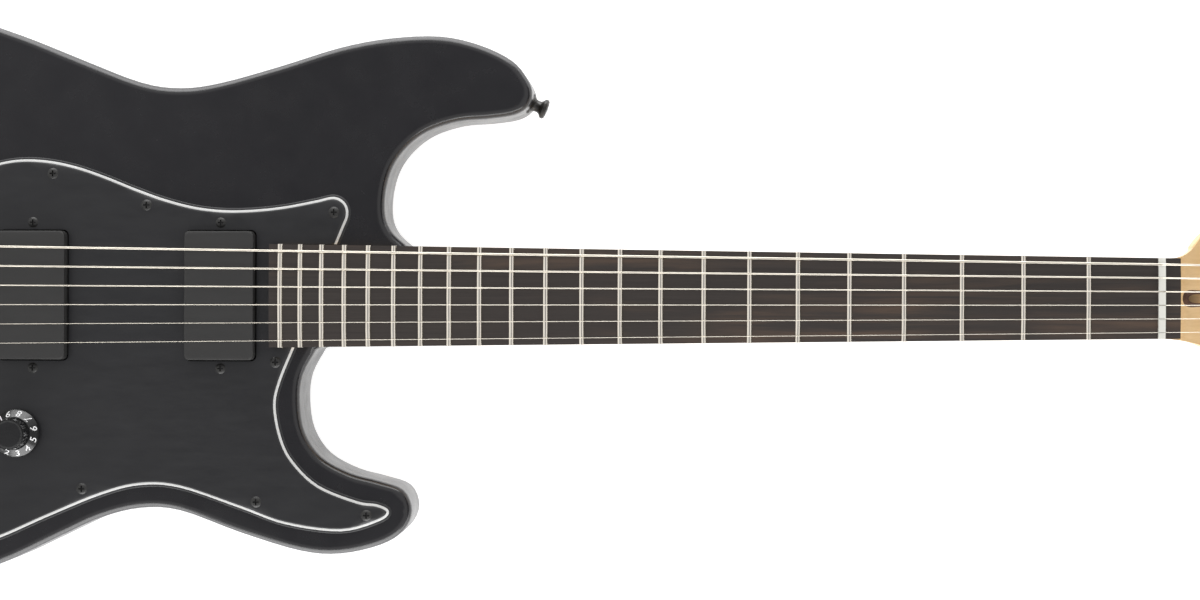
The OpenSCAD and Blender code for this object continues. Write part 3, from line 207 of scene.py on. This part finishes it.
def satin_paint(name, color, roughness):
    """Open satin lacquer: faint orange peel and a slight change of sheen."""
    s = Shader(name, color, roughness, specular=0.45)
    cloud = s.noise(14, 4)
    s.link(s.mix(cloud, *shades(color, 0.82, 1.18)), "Base Color")
    sheen = s.ramp(s.noise(60, 5, 0.6), [(0.3, roughness - 0.05), (0.7, roughness + 0.06)])
    s.link(sheen, "Roughness")
    s.bump(s.noise(1500, 2), 0.25, 0.00004)
    return s.material


def moulded_plastic(name, color, roughness, grain=2600, specular=0.5):
    """Moulded plastic: a fine grain and faint handling marks."""
    s = Shader(name, color, roughness, specular=specular)
    marks = s.noise(180, 6, 0.7, stretch=(0.25, 1, 1))
    s.link(s.mix(marks, *shades(color, 0.85, 1.15)), "Base Color")
    s.link(s.ramp(marks, [(0.35, roughness - 0.04), (0.7, roughness + 0.07)]), "Roughness")
    s.bump(s.noise(grain, 2), 0.3, 0.00003)
    return s.material


def metal(name, color, roughness, grain=(1, 1, 1), scratch=0.25):
    """Bare or plated metal with fine marks along one direction."""
    s = Shader(name, color, roughness, metallic=1.0)
    marks = s.noise(900, 4, 0.6, stretch=grain)
    s.link(s.mix(marks, *shades(color, 0.85, 1.1)), "Base Color")
    s.link(s.ramp(marks, [(0.3, roughness - 0.06), (0.75, roughness + 0.08)]), "Roughness")
    s.bump(marks, scratch, 0.00001)
    return s.material


def black_metal(name, color=(0.005, 0.005, 0.0055), roughness=0.2):
    """Black plated hardware: dark, with a little dust in the finish."""
    s = Shader(name, color, roughness, specular=0.5)
    speck = s.noise(2200, 3, 0.6)
    s.link(s.mix(speck, *shades(color, 0.5, 1.6)), "Base Color")
    sheen = s.ramp(s.noise(500, 4), [(0.3, roughness - 0.06), (0.7, roughness + 0.06)])
    s.link(sheen, "Roughness")
    s.bump(speck, 0.1, 0.00001)
    return s.material


def ebony():
    """Near-black wood with long brown streaks and short open pores along the board."""
    s = Shader("ebony", (0.03, 0.026, 0.023), 0.5, specular=0.35)
    broad = s.noise(9, 3, 0.5, stretch=(1, 5, 1), distortion=0.4)
    streak = s.noise(38, 6, 0.65, stretch=(0.16, 3.2, 1), distortion=0.6)
    fine = s.noise(260, 5, 0.7, stretch=(0.05, 2.2, 1))
    patch = s.ramp(broad, [(0.5, 0.0), (0.68, 1.0)])
    line = s.ramp(streak, [(0.42, 0.0), (0.72, 1.0)])
    brown = s.mix(patch, (0, 0, 0), line)
    dark = s.mix(fine, (0.0185, 0.0145, 0.0132), (0.046, 0.0375, 0.033))
    s.link(s.mix(brown, dark, (0.1, 0.063, 0.042)), "Base Color")
    s.link(s.ramp(fine, [(0.3, 0.62), (0.7, 0.42)]), "Roughness")
    s.bump(fine, 0.45, 0.00006)
    return s.material


def maple():
    """Pale satin maple: soft grain along the neck, faint flame across it."""
    s = Shader("maple", (0.7, 0.5, 0.25), 0.38, specular=0.4, coat=0.15, coat_roughness=0.3)
    grain = s.noise(34, 6, 0.6, stretch=(0.06, 1.6, 1.6), distortion=0.5)
    fine = s.noise(420, 4, 0.6, stretch=(0.05, 1.5, 1.5))
    flame = s.noise(60, 2, 0.5, stretch=(1.2, 0.15, 0.2))
    stops = [(0.25, (0.56, 0.355, 0.15)), (0.55, (0.7, 0.475, 0.24)), (0.8, (0.755, 0.535, 0.295))]
    base = s.ramp(grain, stops)
    toned = s.mix(s.ramp(flame, [(0.4, 0.0), (0.7, 0.25)]), base, (0.78, 0.585, 0.355))
    s.link(s.mix(s.ramp(fine, [(0.3, 0.3), (0.6, 0.0)]), toned, (0.52, 0.33, 0.14)), "Base Color")
    s.link(s.ramp(fine, [(0.3, 0.44), (0.7, 0.34)]), "Roughness")
    s.bump(fine, 0.15, 0.00003)
    return s.material


def walnut():
    """Dark brown wood with short grain."""
    s = Shader("walnut", (0.12, 0.06, 0.03), 0.45, specular=0.35)
    grain = s.noise(300, 5, 0.65, stretch=(0.15, 1, 1))
    stops = [(0.3, (0.045, 0.02, 0.012)), (0.7, (0.131, 0.0645, 0.042))]
    s.link(s.ramp(grain, stops), "Base Color")
    s.bump(grain, 0.3, 0.00005)
    return s.material


def bone(name, color):
    """Bone or white plastic: light sinks in a little."""
    s = Shader(name, color, 0.35, specular=0.5)
    s.set("Subsurface Weight", 0.1)
    s.set("Subsurface Radius", (0.002, 0.0018, 0.0015))
    cloud = s.noise(240, 4, stretch=(1, 0.4, 1))
    s.link(s.mix(cloud, *shades(color, 0.92, 1.05)), "Base Color")
    s.bump(s.noise(1800, 3), 0.15, 0.00002)
    return s.material


def string_metal(name, winding=0):
    """Bright string; a wound one has fine turns across it, at the scale given."""
    s = Shader(name, (0.6, 0.56, 0.48), 0.34, metallic=1.0)
    tarnish = s.noise(25, 3, 0.5)
    s.link(s.mix(tarnish, (0.55, 0.51, 0.44), (0.64, 0.6, 0.52)), "Base Color")
    s.link(s.ramp(tarnish, [(0.3, 0.38), (0.7, 0.3)]), "Roughness")
    if winding:
        s.bump(s.wave(winding, "X", 0.0, 0.0), 0.3, 0.00004)
    return s.material


def paint(name, color, roughness=0.5):
    """Printed paint with a slightly uneven tone."""
    s = Shader(name, color, roughness)
    cloud = s.noise(1500, 3)
    s.link(s.mix(cloud, *shades(color, 0.9, 1)), "Base Color")
    return s.material


# ---- Shading normals: rounded facets read as smooth, real edges stay crisp ----

SMOOTH_LIMIT = math.cos(math.radians(36))
SAME_POINT_DECIMALS = 6


def soften(node):
    """Gives a node or piece angle-limited, area-weighted normals. Its points stay where they are."""
    mesh = node.data
    points = np.empty(len(mesh.vertices) * 3)
    mesh.vertices.foreach_get("co", points)
    rounded = np.round(points.reshape(-1, 3), SAME_POINT_DECIMALS)
    _, same = np.unique(rounded, axis=0, return_inverse=True)
    corners = np.empty(len(mesh.loops), int)
    mesh.loops.foreach_get("vertex_index", corners)
    spot = same.ravel()[corners]
    count = len(mesh.polygons)
    normals, areas = np.empty(count * 3), np.empty(count)
    totals = np.empty(count, int)
    mesh.polygons.foreach_get("normal", normals)
    mesh.polygons.foreach_get("area", areas)
    mesh.polygons.foreach_get("loop_total", totals)
    face = np.repeat(np.arange(count), totals)
    normals = normals.reshape(-1, 3)
    result = np.empty((len(corners), 3))
    order = np.argsort(spot, kind="stable")
    ends = np.flatnonzero(np.diff(spot[order])) + 1
    for group in np.split(order, ends):
        n = normals[face[group]]
        near = (n @ n.T) > SMOOTH_LIMIT
        total = near @ (n * areas[face[group], None])
        length = np.linalg.norm(total, axis=1, keepdims=True)
        result[group] = np.where(length > 0, total / np.maximum(length, 1e-20), n)
    mesh.polygons.foreach_set("use_smooth", np.ones(count, bool))
    mesh.normals_split_custom_set(result.tolist())


# ---- Dressing the CAD nodes ----


def dress_nodes():
    """Gives each CAD node its finish; what isn't named is black hardware, or nickel for the posts."""
    black = black_metal("black_hardware")
    screw = black_metal("black_screw", (0.012, 0.0115, 0.011), 0.42)
    nickel = metal("nickel", (0.62, 0.61, 0.58), 0.28)
    brass = metal("brass", (0.72, 0.55, 0.28), 0.3)
    fret_metal = metal("fret_wire", (0.88, 0.82, 0.72), 0.14, grain=(1, 0.1, 1), scratch=0.1)
    pickup_plastic = moulded_plastic("pickup_cover", (0.022, 0.0215, 0.021), 0.5, grain=3200)
    guard = moulded_plastic("guard_black", (0.0125, 0.0125, 0.0138), 0.36, grain=1800)
    knob = moulded_plastic("knob_black", (0.009, 0.009, 0.0095), 0.22, grain=2600)
    looks = {
        "body": satin_paint("body_satin", (0.0122, 0.0118, 0.0134), 0.24),
        "pickguard_top_ply": guard,
        "pickguard_base_ply": guard,
        "pickguard_white_ply": bone("guard_white", (0.6, 0.6, 0.59)),
        "neck_pickup": pickup_plastic,
        "bridge_pickup": pickup_plastic,
        "pickguard_screws": screw,
        "pickup_height_screws": screw,
        "volume_knob": knob,
        "selector_tip": knob,
        "battery": moulded_plastic("battery_case", (0.03, 0.034, 0.042), 0.35),
        "neck": maple(),
        "fingerboard": ebony(),
        "headstock_plug": walnut(),
        "nut": bone("nut_bone", (0.68, 0.675, 0.62)),
        "frets": fret_metal,
        "wound_strings": string_metal("wound_string", 620),
        "plain_strings": string_metal("plain_string"),
        "jack_socket": nickel,
        "truss_rod": nickel,
        "volume_pot": nickel,
        "pot_shaft": brass,
        "control_nuts": nickel,
        "selector_frame": nickel,
        "selector_lever": nickel,
        "intonation_screws": nickel,
        "intonation_springs": nickel,
        "neck_pickup_springs": nickel,
        "bridge_pickup_springs": nickel,
    }
    for name, node in frame["nodes"].items():
        look = looks.get(name, nickel if name.startswith("tuner_post") else black)
        node.data.materials.clear()
        node.data.materials.append(look)
        soften(node)


# ---- Dial numbers on the knob's skirt ----

DIAL_FIRST, DIAL_LAST, DIAL_MARKED = 1, 10, 9
DIAL_MARKED_ANGLE, DIAL_STEP = 107.0, 31.4
SKIRT_OUTER_R, SKIRT_OUTER_Z = 12.45, 2.9
SKIRT_INNER_R, SKIRT_INNER_Z = 8.85, 6.0
DIGIT_HEIGHT, DIGIT_LIFT = 4.0, 0.03
DIGIT_SLANT, DIGIT_WEIGHT, DIGIT_CURVE_STEPS = 0.15, 0.05, 4
BLENDER_CAP_HEIGHT = 0.729


def dial_numbers():
    """Plain white numbers wrapped on the cone, their tops towards the cap."""
    low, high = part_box("volume_knob")
    centre = Vector(((low.x + high.x) / 2, (low.y + high.y) / 2, low.z))
    slope = math.atan2(SKIRT_INNER_Z - SKIRT_OUTER_Z, SKIRT_OUTER_R - SKIRT_INNER_R)
    middle_r = (SKIRT_OUTER_R + SKIRT_INNER_R) / 2
    middle_z = (SKIRT_OUTER_Z + SKIRT_INNER_Z) / 2
    size = DIGIT_HEIGHT / BLENDER_CAP_HEIGHT
    points, faces = [], []
    for number in range(DIAL_FIRST, DIAL_LAST + 1):
        curve = bpy.data.curves.new(f"digit_{number}", "FONT")
        curve.body = str(number)
        curve.align_x = "CENTER"
        curve.size = size
        curve.shear = DIGIT_SLANT
        curve.offset = DIGIT_WEIGHT
        curve.resolution_u = DIGIT_CURVE_STEPS
        text = bpy.data.objects.new(curve.name, curve)
        bpy.context.scene.collection.objects.link(text)
        bpy.context.view_layer.update()
        mesh = bpy.data.meshes.new_from_object(text)
        turn = math.radians(DIAL_MARKED_ANGLE - DIAL_STEP * (DIAL_MARKED - number))
        start = len(points)
        for v in mesh.vertices:
            up = v.co.y - DIGIT_HEIGHT / 2
            r = middle_r - up * math.cos(slope) + DIGIT_LIFT * math.sin(slope)
            z = middle_z + up * math.sin(slope) + DIGIT_LIFT * math.cos(slope)
            angle = turn + v.co.x / r
            points.append(centre + Vector((r * math.cos(angle), r * math.sin(angle), z)) * MM)
        faces += [[start + i for i in face.vertices] for face in mesh.polygons]
        bpy.data.objects.remove(text)
        bpy.data.meshes.remove(mesh)
    piece = new_piece("dial_numbers", points, faces, paint("dial_white", (0.8, 0.8, 0.8)))
    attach(piece, "volume")


# ---- Strap buttons: seat flange, waist and head, as radius and height in millimetres ----

BUTTON_PROFILE = (
    (2.1, 0), (5.5, 0), (5.7, 0.2), (5.7, 3.5), (5.5, 3.9), (4.6, 4.3), (3.6, 5.1), (3.15, 6.3),
    (3.2, 7.9), (3.9, 9), (5, 9.7), (5.4, 10.2), (5.4, 11.3), (5, 12), (4.5, 12.3), (3.5, 12.3),
    (2.1, 10.9),
)
BUTTON_SEGMENTS = 48
WAIST_HEIGHT = 6.255
BUTTON_MOUNTS = ("horn_strap_button", "tail_strap_button")


def strap_buttons():
    """Both turned buttons, each on the axis of its mount, whose place is the waist."""
    points, faces = [], []
    for mount in frame["record"]["mounts"]:
        if mount["name"] not in BUTTON_MOUNTS:
            continue
        out = Vector(mount["axis"]).normalized()
        across = out.orthogonal().normalized()
        other = out.cross(across)
        seat = Vector(mount["pos_m"]) - out * WAIST_HEIGHT * MM
        start, rings = len(points), len(BUTTON_PROFILE)
        for i in range(BUTTON_SEGMENTS):
            angle = math.tau * i / BUTTON_SEGMENTS
            side = across * math.cos(angle) + other * math.sin(angle)
            points += [seat + (side * r + out * z) * MM for r, z in BUTTON_PROFILE]
            here, there = start + i * rings, start + (i + 1) % BUTTON_SEGMENTS * rings
            for j in range(rings):
                k = (j + 1) % rings
                faces.append((here + j, there + j, there + k, here + k))
    look = black_metal("black_button", (0.012, 0.0105, 0.009), 0.3)
    piece = new_piece("strap_button_turnings", points, faces, look)
    soften(piece)
    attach(piece, "guitar")
    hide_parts("strap_buttons")


# ---- Floor and light ----

FLOOR_SIZE = 12
FLOOR_Z = -0.001
FLOOR_GLOW = (("Min", 0.19, 0.84), ("Max", 0.27, 4.5))


def flat_panel(name, size_x, size_y):
    """A flat rectangle in mesh code, centred on the origin and facing up."""
    x, y = size_x / 2, size_y / 2
    return new_piece(name, [(-x, -y, 0), (x, -y, 0), (x, y, 0), (-x, y, 0)], [(0, 1, 2, 3)])


def add_floor():
    """White floor that glows, more so away from the guitar on both sides, so that its edges catch it.

    Each end of FLOOR_GLOW has a distance from the centre line and the glow there.
    """
    floor = flat_panel("floor", FLOOR_SIZE, FLOOR_SIZE)
    s = Shader("floor", (0.6, 0.6, 0.6), 0.9, specular=0.0)
    s.set("Emission Color", (1, 1, 1, 1))
    split = s.nodes.new("ShaderNodeSeparateXYZ")
    s.links.new(s.coords, split.inputs[0])
    distance = s.nodes.new("ShaderNodeMath")
    distance.operation = "ABSOLUTE"
    s.links.new(split.outputs["Y"], distance.inputs[0])
    glow = s.nodes.new("ShaderNodeMapRange")
    glow.interpolation_type = "SMOOTHSTEP"
    s.links.new(distance.outputs[0], glow.inputs["Value"])
    for end, place, strength in FLOOR_GLOW:
        glow.inputs["From " + end].default_value = place
        glow.inputs["To " + end].default_value = strength
    s.link(glow.outputs["Result"], "Emission Strength")
    s.link(s.ramp(s.noise(6, 2), [(0, 0.58), (1, 0.62)]), "Base Color")
    floor.data.materials.append(s.material)
    floor.location.z = FLOOR_Z


def aim(thing, place, target):
    """Places a light or panel and turns its face to the target."""
    thing.location = place
    thing.rotation_euler = (Vector(target) - Vector(place)).to_track_quat("-Z", "Y").to_euler()


def add_light():
    """White surroundings, dimmer overhead, a long soft box on either side, a dark flag at the tip."""
    world = bpy.data.worlds.new("studio")
    bpy.context.scene.world = world
    world.use_nodes = True
    nodes, links = world.node_tree.nodes, world.node_tree.links
    background = nodes["Background"]
    direction = nodes.new("ShaderNodeTexCoord").outputs["Generated"]
    split = nodes.new("ShaderNodeSeparateXYZ")
    links.new(direction, split.inputs[0])
    ramp = nodes.new("ShaderNodeValToRGB")
    ends = ((SIDE_LIGHT_TOP, SIDE_LIGHT), (OVERHEAD_LIGHT_EDGE, OVERHEAD_LIGHT))
    for element, (place, color) in zip(ramp.color_ramp.elements, ends):
        element.position = place
        element.color = (*color, 1)
    links.new(split.outputs["Z"], ramp.inputs["Fac"])
    links.new(ramp.outputs["Color"], background.inputs["Color"])
    for name, place, size, power in SOFT_BOXES:
        data = bpy.data.lights.new(name, "AREA")
        data.shape = "RECTANGLE"
        data.size, data.size_y = size
        data.energy = power
        light = bpy.data.objects.new(name, data)
        aim(light, place, (place[0], 0, 0))
        light.visible_camera = False
        bpy.context.scene.collection.objects.link(light)
    flag = flat_panel("dark_flag", *FLAG_SIZE)
    aim(flag, FLAG_PLACE, (0, 0, FLAG_PLACE[2]))
    flag.visible_camera = False
    flag.visible_diffuse = False
    flag.data.materials.append(Shader("dark_flag", (0.01, 0.01, 0.01), 1.0, specular=0.0).material)


bpy.context.scene.view_settings.view_transform = "Standard"
add_camera()
dress_nodes()
dial_numbers()
strap_buttons()
add_floor()
add_light()
